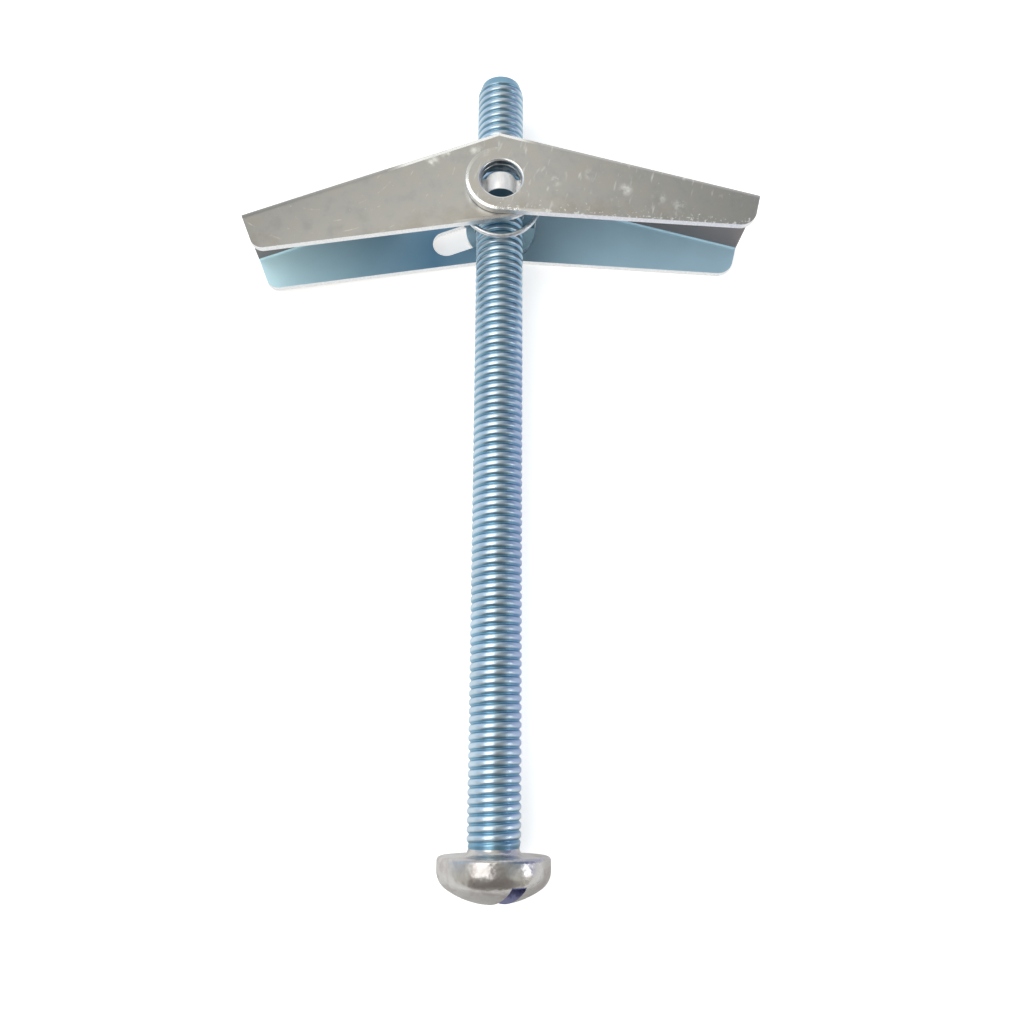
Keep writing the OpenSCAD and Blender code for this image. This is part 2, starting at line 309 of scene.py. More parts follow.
def rolled_outline(tree, mm, way, height, edge_at, end_radius, crown, start):
    """The band of an ear's face that the shear rolls over: 0 in the flat, rising to 1 at the outline.

    It follows the round end of the ear on the side away from the wing, the bearing edge for a little way,
    and the crown from its top corner to the start of the web. Returns the rise and a mask of the band; the
    mask is where the face is painted nearly white, a painted highlight along the outline.
    """
    wide = 0.32  # mm, of the band
    from_top, to_low = HINGE.y + 2.4, HINGE.y - 1.2  # the round end's band comes in between these
    split = add_node(tree, "SeparateXYZ", None, {0: mm})
    flat = add_node(tree, "VectorMath", {"operation": "MULTIPLY", 1: (1.0, 1.0, 0.0)}, {0: mm})
    from_hinge = add_node(tree, "VectorMath", {"operation": "DISTANCE", 1: (HINGE.x, HINGE.y, 0.0)}, {0: flat})
    lean = math.radians(crown[2]) * way
    square = (math.sin(lean), math.cos(lean), 0.0)
    to_crown = add_node(tree, "VectorMath", {"operation": "DOT_PRODUCT", 1: square}, {0: mm})
    crown_at = crown[0] * square[0] + crown[1] * square[1]
    along = add_node(tree, "Math", {"operation": "MULTIPLY", 1: float(way)}, {0: split.outputs["X"]})
    behind = add_node(tree, "Math", {"operation": "LESS_THAN", 1: 0.0}, {0: along})
    # the band and its painted highlight weaken to 0.12 over the upper half of the round end
    lower = add_node(tree, "MapRange",
                     {"From Min": from_top, "From Max": to_low, "To Min": 0.12},
                     {"Value": split.outputs["Y"]})
    round_end = add_node(tree, "Math", {"operation": "MULTIPLY"}, {0: behind, 1: lower})
    ahead = add_node(tree, "Math", {"operation": "GREATER_THAN", 1: 0.0}, {0: along})
    soon = add_node(tree, "MapRange", {"From Min": 1.0, "From Max": 5.0, "To Min": 1.0, "To Max": 0.0},
                    {"Value": along})
    bearing = add_node(tree, "Math", {"operation": "MULTIPLY"}, {0: ahead, 1: soon})
    before_web = add_node(tree, "MapRange",
                          {"From Min": start - 2.0, "From Max": start, "To Min": 1.0, "To Max": 0.0},
                          {"Value": along})
    rise = mask = None
    for value, edge, inward, where in (
        (from_hinge.outputs["Value"], end_radius, -1, round_end),
        (height, edge_at, 1, bearing),
        (to_crown.outputs["Value"], crown_at, -1, before_web),
    ):
        slope = add_node(tree, "MapRange", {"From Min": edge + inward * wide, "From Max": edge}, {"Value": value})
        there = add_node(tree, "Math", {"operation": "COMPARE", 1: 0.5, 2: 0.49}, {0: slope})
        lifts = add_node(tree, "Math", {"operation": "MULTIPLY"}, {0: slope, 1: where})
        painted_highlight_band = add_node(tree, "Math", {"operation": "MULTIPLY"}, {0: there, 1: where})
        if rise is None:
            rise, mask = lifts, painted_highlight_band
        else:
            rise = add_node(tree, "Math", {"operation": "MAXIMUM"}, {0: rise, 1: lifts})
            mask = add_node(tree, "Math", {"operation": "MAXIMUM"}, {0: mask, 1: painted_highlight_band})
    return rise, mask


def wing_outside_zinc(name, colours, way, droop, rough_edge, gather, knocks, arcs, fade, crown, start, smudge_places):
    """Cold-rolled sheet, zinc plated and rubbed in the box: warm satin grey, faintly mottled olive and tan.

    way is 1 for the wing that reaches to +X and -1 for the other. droop is the wing's own lean at rest, so
    the wear follows its edges; rough_edge is the distance in mm of its bearing edge under the hinge line
    and gather is how strongly specks gather there; knocks is how strong the short ticks are and arcs the
    curved hairlines; fade is the painted brightness by the hinge and at the tip, a painted shade that darkens
    the wing toward its tip; crown is the (x, y) of the ears' top corner in mm and the slope of their top edge
    in degrees, which place the painted highlight along the crown; start is where the web starts in mm;
    smudge_places are (x, y) places in mm of pale rubbed patches.
    """
    material, tree, mm = new_material(name)
    # cloudy rubbing, patches about 5 mm across
    cloud = add_node(tree, "TexNoise", {"Scale": 1 / 5.0, "Detail": 5.0, "Roughness": 0.6}, {"Vector": mm})
    # mottling about 1.6 mm across
    mottle = add_node(tree, "TexNoise", {"Scale": 1 / 1.6, "Detail": 4.0, "Roughness": 0.65}, {"Vector": mm})
    # grit of the rolled sheet, 0.15 mm
    grit = add_node(tree, "TexNoise", {"Scale": 1 / 0.15, "Detail": 3.0}, {"Vector": mm})
    # short ticks, about 0.4 mm wide and 1.6 mm long, square to the wing
    lean = add_node(tree, "Mapping",
                    {"vector_type": "TEXTURE", "Rotation": (0.0, 0.0, droop + math.radians(-16)),
                     "Scale": (0.45, 1.7, 1.0)}, {"Vector": mm})
    tick = add_node(tree, "TexNoise", {"Scale": 1.0, "Detail": 1.5, "Roughness": 0.5}, {"Vector": lean})
    ticks = add_node(tree, "MapRange", {"From Min": 0.63, "From Max": 0.8, "To Max": knocks},
                     {"Value": tick.outputs["Fac"]})
    # specks about 0.3 mm across, gathered within 1.6 mm of the bearing edge
    speck = add_node(tree, "TexNoise", {"Scale": 1 / 0.3, "Detail": 2.0}, {"Vector": mm})
    height = add_node(tree, "VectorMath",
                      {"operation": "DOT_PRODUCT", 1: (math.sin(droop), math.cos(droop), 0.0)}, {0: mm})
    edge_at = HINGE.y * math.cos(droop) - rough_edge
    near_edge = add_node(tree, "MapRange",
                         {"From Min": edge_at + 1.6, "From Max": edge_at + 0.2, "To Max": gather},
                         {"Value": height.outputs["Value"]})
    lifted = add_node(tree, "Math", {"operation": "ADD"}, {0: speck.outputs["Fac"], 1: near_edge})
    specks = add_node(tree, "MapRange", {"From Min": 0.72, "From Max": 0.82, "To Max": 0.75}, {"Value": lifted})
    # curved hairlines 1.3 mm apart, where something round has turned on the face, broken up by the mottling
    turned = add_node(tree, "VectorMath", {"operation": "SUBTRACT", 1: (-18.0, 70.0, 4.5)}, {0: mm})
    ring = add_node(tree, "TexWave",
                    {"wave_type": "RINGS", "rings_direction": "SPHERICAL", "Scale": 2 * math.pi / (20 * 1.3),
                     "Distortion": 1.5, "Detail": 2.0, "Detail Scale": 0.25}, {"Vector": turned})
    hair = add_node(tree, "MapRange", {"From Min": 0.975, "From Max": 1.0, "To Max": arcs},
                    {"Value": ring.outputs["Fac"]})
    broken = add_node(tree, "MapRange", {"From Min": 0.55, "From Max": 0.66}, {"Value": mottle.outputs["Fac"]})
    hairs = add_node(tree, "Math", {"operation": "MULTIPLY"}, {0: hair, 1: broken})
    # pale patches where parts have knocked together
    patch = add_node(tree, "Math", {"operation": "MULTIPLY"},
                     {0: smudges(tree, mm, smudge_places, 0.95),
                      1: add_node(tree, "MapRange", {"From Min": 0.46, "From Max": 0.66},
                                  {"Value": mottle.outputs["Fac"]})})
    marks = ticks
    for more in (specks, hairs, patch):
        marks = add_node(tree, "Math", {"operation": "MAXIMUM"}, {0: marks, 1: more})
    # a brown haze is left within 2.6 mm of the bearing edge, in clouds
    low = add_node(tree, "MapRange",
                   {"From Min": edge_at + 2.6, "From Max": edge_at + 0.3, "To Max": 0.5},
                   {"Value": height.outputs["Value"]})
    hazy = add_node(tree, "MapRange", {"From Min": 0.45, "From Max": 0.6}, {"Value": cloud.outputs["Fac"]})
    haze = add_node(tree, "Math", {"operation": "MULTIPLY"}, {0: low, 1: hazy})
    tan = add_node(tree, "MapRange", {"From Min": 0.45, "From Max": 0.7, "To Max": 0.35},
                   {"Value": mottle.outputs["Fac"]})
    warm = add_node(tree, "Math", {"operation": "MAXIMUM"}, {0: tan, 1: haze})
    tinted = add_node(tree, "Mix", {"data_type": "RGBA", 6: colours.wing_outside, 7: linear("#B6AB99")}, {0: warm})
    shade = add_node(tree, "MapRange", {"From Min": 0.3, "From Max": 0.7, "To Min": 0.86, "To Max": 1.04},
                     {"Value": mottle.outputs["Fac"]})
    # painted light and shade: brightest round the hinge and darker toward the tip
    reach = add_node(tree, "SeparateXYZ", None, {0: mm})
    out = add_node(tree, "Math", {"operation": "MULTIPLY", 1: float(way)}, {0: reach.outputs["X"]})
    painted_shade_to_tip = add_node(tree, "MapRange",
                      {"From Min": 4.0, "From Max": 25.0, "To Min": fade[0], "To Max": fade[1]},
                      {"Value": out})
    level = add_node(tree, "Math", {"operation": "MULTIPLY"}, {0: shade, 1: painted_shade_to_tip})
    base = add_node(tree, "VectorMath", {"operation": "SCALE"}, {0: tinted.outputs[2], "Scale": level})
    rise, rolled = rolled_outline(tree, mm, way, height.outputs["Value"], edge_at, rough_edge, crown, start)
    # the real marks and the band along the ears' outline go nearly white; the band is a painted highlight
    pale = add_node(tree, "Math", {"operation": "MAXIMUM"}, {0: marks, 1: rolled})
    colour = add_node(tree, "Mix", {"data_type": "RGBA", 7: linear("#FBFBF6")}, {0: pale, 6: base})
    rough = add_node(tree, "MapRange", {"From Min": 0.3, "From Max": 0.7, "To Min": 0.36, "To Max": 0.46},
                     {"Value": cloud.outputs["Fac"]})
    # the roll-over is burnished
    burnish = add_node(tree, "Math", {"operation": "MULTIPLY_ADD", 1: -0.2}, {0: rolled, 2: rough})
    bump = add_node(tree, "Bump", {"Strength": 0.12, "Distance": 0.00002}, {"Height": grit.outputs["Fac"]})
    scratched = add_node(tree, "Bump", {"Strength": 0.3, "Distance": 0.00004}, {"Height": marks, "Normal": bump})
    # the shear's roll-over falls 0.14 mm over its 0.32 mm
    turned_down = add_node(tree, "Bump", {"invert": True, "Strength": 1.0, "Distance": 0.00014},
                           {"Height": rise, "Normal": scratched})
    shader = add_node(tree, "BsdfPrincipled", {"Metallic": 0.85},
                      {"Base Color": colour.outputs[2], "Roughness": burnish, "Normal": turned_down})
    add_node(tree, "OutputMaterial", None, {"Surface": shader})
    return material


def channel_zinc_with_painted_shade(name, metal, rough_low, rough_high, middle, reach, near, far):
    """Inside of the channel: blue-passivated zinc that nothing rubs, even and satin, with a soft cloudiness.

    The tone runs from near at x = middle to far at reach mm away from there: painted shade, darker round
    x = middle and paler away from it.
    """
    material, tree, mm = new_material(name)
    # cloudiness about 5 mm across
    cloud = add_node(tree, "TexNoise", {"Scale": 1 / 5.0, "Detail": 3.0}, {"Vector": mm})
    grit = add_node(tree, "TexNoise", {"Scale": 1 / 0.15, "Detail": 2.0}, {"Vector": mm})
    way = add_node(tree, "SeparateXYZ", None, {0: mm})
    from_middle = add_node(tree, "Math", {"operation": "SUBTRACT", 1: middle}, {0: way.outputs["X"]})
    out = add_node(tree, "Math", {"operation": "ABSOLUTE"}, {0: from_middle})
    pale = add_node(tree, "MapRange", {"From Min": 0.0, "From Max": reach}, {"Value": out})
    # painted shade: darker round x = middle, paler away from it
    tone = add_node(tree, "Mix", {"data_type": "RGBA", 6: near, 7: far}, {0: pale})
    shade = add_node(tree, "MapRange", {"From Min": 0.3, "From Max": 0.7, "To Min": 0.92, "To Max": 1.0},
                     {"Value": cloud.outputs["Fac"]})
    colour = add_node(tree, "VectorMath", {"operation": "SCALE"}, {0: tone.outputs[2], "Scale": shade})
    rough = add_node(tree, "MapRange",
                     {"From Min": 0.3, "From Max": 0.7, "To Min": rough_low, "To Max": rough_high},
                     {"Value": cloud.outputs["Fac"]})
    bump = add_node(tree, "Bump", {"Strength": 0.06, "Distance": 0.00002}, {"Height": grit.outputs["Fac"]})
    shader = add_node(tree, "BsdfPrincipled", {"Metallic": metal},
                      {"Base Color": colour, "Roughness": rough, "Normal": bump})
    add_node(tree, "OutputMaterial", None, {"Surface": shader})
    return material


def edge_zinc(colours):
    """Sheared edge of the sheet under zinc: bright, with the fine torn grain of the shear."""
    material, tree, mm = new_material("bright zinc on sheared edge")
    # torn grain about 0.2 mm
    grain = add_node(tree, "TexNoise", {"Scale": 1 / 0.2, "Detail": 3.0}, {"Vector": mm})
    shade = add_node(tree, "MapRange", {"From Min": 0.3, "From Max": 0.7, "To Min": 0.82, "To Max": 1.0},
                     {"Value": grain.outputs["Fac"]})
    colour = add_node(tree, "VectorMath", {"operation": "SCALE", 0: colours.cut_edge[:3]}, {"Scale": shade})
    bump = add_node(tree, "Bump", {"Strength": 0.3, "Distance": 0.00004}, {"Height": grain.outputs["Fac"]})
    shader = add_node(tree, "BsdfPrincipled", {"Metallic": 1.0, "Roughness": 0.3},
                      {"Base Color": colour, "Normal": bump})
    add_node(tree, "OutputMaterial", None, {"Surface": shader})
    return material


def plate_face_painted_shade():
    """The plate's flat faces, deep between the wings: painted shade, a dark dull blue zinc in patches."""
    material, tree, mm = new_material("nut's faces in painted shade")
    # darker and lighter patches about 1.5 mm across, within the painted shade
    film = add_node(tree, "TexNoise", {"Scale": 1 / 1.5, "Detail": 3.0}, {"Vector": mm})
    colour = add_node(tree, "Mix", {"data_type": "RGBA", 6: linear("#4E6E7E"), 7: linear("#6C8796")},
                      {0: film.outputs["Fac"]})
    shader = add_node(tree, "BsdfPrincipled", {"Metallic": 0.8, "Roughness": 0.4},
                      {"Base Color": colour.outputs[2]})
    add_node(tree, "OutputMaterial", None, {"Surface": shader})
    return material


def nut_zinc(colours):
    """Stamped plate under bright zinc, its tongues scored lengthwise by the punch."""
    material, tree, mm = new_material("bright zinc on stamped plate")
    # punch scores 0.3 mm apart, running along the screw, broken up about every 0.8 mm
    along = add_node(tree, "Mapping", {"Scale": (1 / 0.3, 1 / 0.8, 1 / 0.5)}, {"Vector": mm})
    score = add_node(tree, "TexNoise", {"Scale": 1.0, "Detail": 2.0}, {"Vector": along})
    shade = add_node(tree, "MapRange", {"From Min": 0.35, "From Max": 0.65, "To Min": 0.15, "To Max": 0.0},
                     {"Value": score.outputs["Fac"]})
    # a thin maroon film is left in the scores
    film = add_node(tree, "Mix", {"data_type": "RGBA", 6: colours.nut, 7: linear("#8B6F74")}, {0: shade})
    bump = add_node(tree, "Bump", {"Strength": 0.4, "Distance": 0.00004}, {"Height": score.outputs["Fac"]})
    shader = add_node(tree, "BsdfPrincipled", {"Metallic": 0.2, "Roughness": 0.3},
                      {"Base Color": film.outputs[2], "Normal": bump})
    add_node(tree, "OutputMaterial", None, {"Surface": shader})
    return material


def spring_wire(colours):
    """Drawn spring wire under thin zinc: bright, with faint die lines and small dull spots."""
    material, tree, mm = new_material("zinc on drawn spring wire")
    # dull spots about 0.4 mm across
    spot = add_node(tree, "TexNoise", {"Scale": 1 / 0.4, "Detail": 3.0}, {"Vector": mm})
    shade = add_node(tree, "MapRange", {"From Min": 0.35, "From Max": 0.65, "To Min": 0.8, "To Max": 1.0},
                     {"Value": spot.outputs["Fac"]})
    colour = add_node(tree, "VectorMath", {"operation": "SCALE", 0: colours.spring[:3]}, {"Scale": shade})
    rough = add_node(tree, "MapRange", {"From Min": 0.35, "From Max": 0.65, "To Min": 0.3, "To Max": 0.4},
                     {"Value": spot.outputs["Fac"]})
    shader = add_node(tree, "BsdfPrincipled", {"Metallic": 1.0}, {"Base Color": colour, "Roughness": rough})
    add_node(tree, "OutputMaterial", None, {"Surface": shader})
    return material


# ---------------------------------------------------------------- screw

def thread_profile(depth, pitch):
    """(way along the pitch, drop from the crest) of a rolled thread: broad round crests, narrower roots."""
    steps, narrow = 14, 5
    return [(pitch * k / steps, depth * math.sin(math.pi * k / steps) ** narrow) for k in range(steps)]


def make_thread(sizes, material):
    """The threaded shank as one right-hand helical skin, closed at the tip, run into the head."""
    neck_under = 0.16  # the neck lies this far under the crests
    lead, run_out = 0.35, 1.1  # the thread starts to show this far before it is clear, and is full after this
    into_head = -0.6
    tip_wear = 0.7  # share of the thread's depth that the chamfer fills
    top = SCREW_HIGH.y
    chamfer_from = top - sizes.tip_chamfer
    columns = 72
    turns = int((top + 2) / sizes.pitch) + 2
    profile = thread_profile(sizes.thread_depth, sizes.pitch)
    bm = bmesh.new()
    grid = []
    for i in range(columns + 1):
        angle = 2 * math.pi * i / columns
        column = []
        for turn in range(-2, turns):
            for way, drop in profile:
                y = (turn + i / columns) * sizes.pitch + way
                fade = min(max((y - sizes.thread_clear + lead) / run_out, 0.0), 1.0)
                fade = fade * fade * (3 - 2 * fade)
                r = CREST_RADIUS - neck_under * (1 - fade) - drop * fade
                y = min(max(y, into_head), top)
                if y > chamfer_from:
                    way_up = (y - chamfer_from) / sizes.tip_chamfer
                    cone = CREST_RADIUS + (sizes.tip_radius - CREST_RADIUS) * way_up
                    r = min(r + drop * fade * tip_wear * way_up, cone)
                column.append((math.sin(angle) * r, y, math.cos(angle) * r))
        grid.append(column)
    rows = len(grid[0])
    verts = [[bm.verts.new(co) for co in column] for column in grid]
    for i in range(columns):
        for k in range(rows - 1):
            bm.faces.new((verts[i][k], verts[i][k + 1], verts[i + 1][k + 1], verts[i + 1][k]))
    bmesh.ops.remove_doubles(bm, verts=bm.verts, dist=0.0008)
    bmesh.ops.dissolve_degenerate(bm, edges=bm.edges, dist=0.0004)
    ends = [e for e in bm.edges if e.is_boundary]
    for side in (-1, 1):
        ring = [e for e in ends if all((v.co.y - 10) * side > 0 for v in e.verts)]
        if ring:
            bmesh.ops.edgeloop_fill(bm, edges=ring)
    return new_piece("screw_thread", bm, [material], smooth_angle=60)


def arc(cx, cy, r, start, end, steps):
    """Points of an arc in the (radius, y) half plane, angles in degrees."""
    return [
        (cx + r * math.cos(math.radians(start + (end - start) * k / steps)),
         cy + r * math.sin(math.radians(start + (end - start) * k / steps)))
        for k in range(steps + 1)
    ]


def make_head(sizes, material):
    """The round head with its neck fillet, turned, then slotted.

    Slivers left by the cut clamp the slot's bevel to about 0.00001 mm, so the slot's edges stay sharp.
    """
    head_r, side, dome = 5.1, 1.2, 2.9
    neck_r, rim_r, edge_share = 2.28, 0.4, 0.655
    edge_r = dome * edge_share
    edge_x = head_r - edge_r
    dome_r = (edge_x ** 2 + dome ** 2 - edge_r ** 2) / (2 * (dome - edge_r))
    dome_c = dome_r - side - dome
    turn = math.degrees(math.atan2(edge_x, dome_c + side))
    fillet = sizes.neck_fillet
    outline = [(2.2, fillet + 0.35)]
    outline += arc(neck_r + fillet, fillet, fillet, 180, 270, 8)
    outline += [(3.6, 0.0), (4.3, 0.0)]
    outline += arc(head_r - rim_r, -rim_r, rim_r, 90, 0, 6)
    outline += [(head_r, -2 * rim_r)]
    outline += arc(edge_x, -side, edge_r, 0, turn - 90, 14)
    outline += arc(0, dome_c, dome_r, turn - 90, -90, 14)[1:-1]
    bm = bmesh.new()
    columns = 128
    rings = []
    for r, y in outline:
        rings.append([
            bm.verts.new((math.sin(2 * math.pi * i / columns) * r, y, math.cos(2 * math.pi * i / columns) * r))
            for i in range(columns)
        ])
    pole = bm.verts.new((0, -side - dome, 0))
    for a, b in zip(rings, rings[1:]):
        for i in range(columns):
            j = (i + 1) % columns
            bm.faces.new((a[i], a[j], b[j], b[i]))
    for i in range(columns):
        bm.faces.new((rings[-1][i], rings[-1][(i + 1) % columns], pole))
    bm.faces.new(rings[0])
    bmesh.ops.recalc_face_normals(bm, faces=bm.faces)
    mesh = bpy.data.meshes.new("head_blank")
    bm.to_mesh(mesh)
    bm.free()
    blank = bpy.data.objects.new("head_blank", mesh)

    cut = bmesh.new()
    bmesh.ops.create_cube(cut, size=1.0)
    depth, past_head = sizes.slot_depth + 3.0, 14
    bmesh.ops.scale(cut, vec=(sizes.slot_width, depth, past_head), verts=cut.verts)
    bmesh.ops.translate(cut, vec=(0, -side - dome + sizes.slot_depth - depth / 2, 0), verts=cut.verts)
    bmesh.ops.rotate(cut, matrix=Matrix.Rotation(sizes.slot_turn, 3, "Y"), verts=cut.verts)
    cut_mesh = bpy.data.meshes.new("slot_cutter")
    cut.to_mesh(cut_mesh)
    cut.free()
    cutter = bpy.data.objects.new("slot_cutter", cut_mesh)

    for helper in (blank, cutter):
        bpy.context.scene.collection.objects.link(helper)
    boolean = blank.modifiers.new("slot", "BOOLEAN")
    boolean.object = cutter
    boolean.operation = "DIFFERENCE"
    boolean.solver = "EXACT"
    bpy.context.view_layer.update()
    result = bpy.data.meshes.new_from_object(blank.evaluated_get(bpy.context.evaluated_depsgraph_get()))
    bm = bmesh.new()
    bm.from_mesh(result)
    for helper in (blank, cutter):
        data = helper.data
        bpy.data.objects.remove(helper)
        bpy.data.meshes.remove(data)
    bpy.data.meshes.remove(result)
    bmesh.ops.remove_doubles(bm, verts=bm.verts, dist=0.0005)
    slot = [e for e in bm.edges if len(e.link_faces) == 2 and e.calc_face_angle(0.0) > math.radians(38)
            and e.calc_length() > 0.01 and min(v.co.y for v in e.verts) < -0.2]
    bmesh.ops.bevel(bm, geom=slot, offset=0.07, offset_type="OFFSET", segments=2, profile=0.5, affect="EDGES",
                    clamp_overlap=True)
    return new_piece("screw_head", bm, [material], smooth_angle=32)


# ---------------------------------------------------------------- wings

def make_wing(name, node, inside, start, way, materials, edge_break):
    """A wing from its frame node, each face given the finish of its place in the channel.

    Only the holes' edges are broken in full. Clamping leaves 0.004 to 0.04 mm on the ears' crowns and round ends
    and about 0.000001 mm on all the other edges, which stay sharp.

    inside is the half width between the sides and start is where the web starts, in mm; way is 1 for a wing
    that reaches to +X and -1 for the other. The materials are outside, cut edge, inside and web underside.
    """
    hole_reach, crown_from, end_from, end_to = 2.2, 3.5, 3.3, 4.2  # from the hinge line, in mm
    bm = frame_copy(node)
    hole = [e for e in sharp_edges(bm) if all(
        (v.co.xy - HINGE.xy).length < hole_reach and abs(v.co.z) > inside + 0.5 for v in e.verts)]
    break_edges(bm, hole, edge_break * 2.6, segments=3)
    # the crown of each ear, which the shear rolls over widest
    crown = [e for e in sharp_edges(bm) if all(
        abs(v.co.x) < start + 1.0 and v.co.y > HINGE.y + crown_from and abs(v.co.z) > inside + 0.6 for v in e.verts)]
    break_edges(bm, crown, edge_break * 2.8, segments=3)
    # the round end of each ear, on the side away from the wing
    end = [e for e in sharp_edges(bm) if all(
        (v.co.x - HINGE.x) * way < 0.3 and end_from < (v.co.xy - HINGE.xy).length < end_to
        and v.co.y < HINGE.y + 3.2 and abs(v.co.z) > inside + 0.6 for v in e.verts)]
    break_edges(bm, end, edge_break * 2.2, segments=3)
    break_edges(bm, sharp_edges(bm), edge_break)
    bm.normal_update()
    for face in bm.faces:
        n, c = face.normal, face.calc_center_median()
        outward = n.z * c.z > 0
        if abs(n.z) > 0.97:
            face.material_index = 0 if outward else 2
        # the web's underside takes the darker finish, painted shade under the web
        elif abs(n.z) < 0.03 and abs(c.z) < inside - 0.12 and abs(n.y) > 0.5:
            face.material_index = 0 if n.y > 0 else 3
        elif abs(n.z) > 0.03 and abs(c.x) > start and n.y > 0 and outward:
            face.material_index = 0
        elif abs(n.z) > 0.03 and n.y < 0 and not outward and abs(c.z) < inside - 0.002:
            face.material_index = 2
        else:
            face.material_index = 1
    wing = new_piece(name, bm, materials, smooth_angle=40)
    even_flats(wing)
    return wing


# ---------------------------------------------------------------- spring

def make_tube(name, path, radius, material, cap_start=True, cap_end=True):
    """A round wire along a list of points in mm."""
    sides = 14
    bm = bmesh.new()
    rings = []
    up = Vector((0, 0, 1))
    for i, point in enumerate(path):
        way = (path[min(i + 1, len(path) - 1)] - path[max(i - 1, 0)]).normalized()
        side = up.cross(way).normalized()
        over = way.cross(side)
        rings.append([
            bm.verts.new(point + radius * (math.cos(2 * math.pi * k / sides) * side
                                           + math.sin(2 * math.pi * k / sides) * over))
            for k in range(sides)
        ])
    for a, b in zip(rings, rings[1:]):
        for k in range(sides):
            j = (k + 1) % sides
            bm.faces.new((a[k], b[k], b[j], a[j]))
    if cap_start:
        bm.faces.new(rings[0])
    if cap_end:
        bm.faces.new(list(reversed(rings[-1])))
    return new_piece(name, bm, [material], smooth_angle=50)


def tangent_angle(end, side, coil_radius, drop):
    """Angle about the coil's centre where a straight leg from end meets the top of the coil."""
    dx, dy = end[0], end[1] + drop
    return math.atan2(dy, dx) + side * math.acos(coil_radius / math.hypot(dx, dy))


def spring_paths(sizes):
    """Left leg, coil and right leg as point lists in mm, each leg starting at the coil."""
    over_screw, under_wing = 0.16, 0.10
    low_z, high_z = CREST_RADIUS + over_screw + sizes.wire / 2, INNER_HALF - under_wing - sizes.wire / 2
    # the legs' ends from the hinge line, just under the two webs
    left_end, right_end = (-14.128, -0.417), (11.091, 1.839)
    start = tangent_angle(left_end, -1, sizes.coil_radius, sizes.coil_drop)
    stop = tangent_angle(right_end, 1, sizes.coil_radius, sizes.coil_drop) - 2 * math.pi
    if start < 0:
        start += 2 * math.pi
    steps, leg_steps = 110, 24
    coil = []
    for i in range(steps + 1):
        t = i / steps
        a = start + (stop - start) * t
        coil.append(Vector((sizes.coil_radius * math.cos(a), sizes.coil_radius * math.sin(a) - sizes.coil_drop,
                            low_z + (high_z - low_z) * t)) + Vector((0, HINGE.y, 0)))
    legs = []
    for first, end, z in ((coil[0], left_end, low_z), (coil[-1], right_end, high_z)):
        last = Vector((end[0], end[1] + HINGE.y, z))
        legs.append([first.lerp(last, k / leg_steps) for k in range(leg_steps + 1)])
    return legs[0], coil, legs[1]


# ---------------------------------------------------------------- operators

class TOGGLEBOLT_OT_screw(bpy.types.Operator):
    """Builds the threaded shank and the slotted head in place of the frame's plain screw"""

    bl_idname = "togglebolt.screw"
    bl_label = "Screw"

    def execute(self, context):
        sizes, colours = context.scene.togglebolt_sizes, context.scene.togglebolt_colours
        thread = make_thread(sizes, screw_zinc(colours))
        head = make_head(sizes, head_zinc(sizes, colours))
        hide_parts("screw")
        for piece in (thread, head):
            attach(piece, "screw_body")
        return {"FINISHED"}


class TOGGLEBOLT_OT_nut(bpy.types.Operator):
    """Builds the plate nut with broken edges in place of the frame's nut"""

    bl_idname = "togglebolt.nut"
    bl_label = "Nut"

    def execute(self, context):
        sizes, colours = context.scene.togglebolt_sizes, context.scene.togglebolt_colours
        bm = frame_copy("nut")
        break_edges(bm, sharp_edges(bm), sizes.edge_break * 2.0, segments=3)
        bm.normal_update()
        for face in bm.faces:
            # the faces across the screw take the dark painted shade
            face.material_index = 1 if abs(face.normal.y) > 0.9 else 0
        nut = new_piece("plate_nut", bm, [nut_zinc(colours), plate_face_painted_shade()], smooth_angle=40)
        even_flats(nut)
        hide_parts("nut")
        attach(nut, "nut_body")
        return {"FINISHED"}


class TOGGLEBOLT_OT_wings(bpy.types.Operator):
    """Builds the two pressed wings in place of the frame's wings"""

    bl_idname = "togglebolt.wings"
    bl_label = "Wings"

    def execute(self, context):
        sizes, colours = context.scene.togglebolt_sizes, context.scene.togglebolt_colours
        cut = edge_zinc(colours)
        # the web's underside and both channels take painted shade, darkest round the hinge
        under = channel_zinc_with_painted_shade("web underside in painted shade", 0.35, 0.4, 0.5, 0.0, 26.0, linear("#6E6969"),
                                 colours.web_underside_painted_shade)
        outer = wing_outside_zinc(
            "rubbed satin zinc, outer wing", colours, way=1, droop=math.radians(2.5), rough_edge=OUTER_END,
            gather=0.16, knocks=0.65, arcs=0.0, fade=(1.1, 0.81), crown=(-0.27, 70.55, 13.9), start=3.8,
            smudge_places=[(5.6, 65.2), (9.2, 65.9), (12.6, 64.3), (16.0, 63.5), (18.1, 62.6), (-1.9, 68.4)])
        outer_inside = channel_zinc_with_painted_shade("blue zinc in the outer channel with painted shade", 0.2, 0.38, 0.48, 3.0, 9.0,
                                        linear("#95B4C3"), linear("#BFE2F3"))
        inner = wing_outside_zinc(
            "rubbed satin zinc, inner wing", colours, way=-1, droop=math.radians(-9.6), rough_edge=INNER_END,
            gather=0.0, knocks=0.0, arcs=0.28, fade=(1.04, 0.58), crown=(-0.08, 71.19, 22.1), start=11.7,
            smudge_places=[(-7.0, 67.6), (-5.6, 68.6), (-2.6, 69.0)])
        inner_inside = channel_zinc_with_painted_shade("blue zinc in the inner channel with painted shade", 0.2, 0.38, 0.48, -7.0, 17.0,
                                        linear("#6F9BB8"), colours.wing_inside)
        for name, node, body, inside, start, way, finishes in (
            ("outer_wing", "right_wing", "right_wing_body", OUTER_HALF, 3.8, 1, [outer, cut, outer_inside, under]),
            ("inner_wing", "left_wing", "left_wing_body", INNER_HALF, 11.6, -1, [inner, cut, inner_inside, under]),
        ):
            wing = make_wing(name, node, inside, start, way, finishes, sizes.edge_break)
            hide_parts(node)
            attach(wing, body)
        return {"FINISHED"}


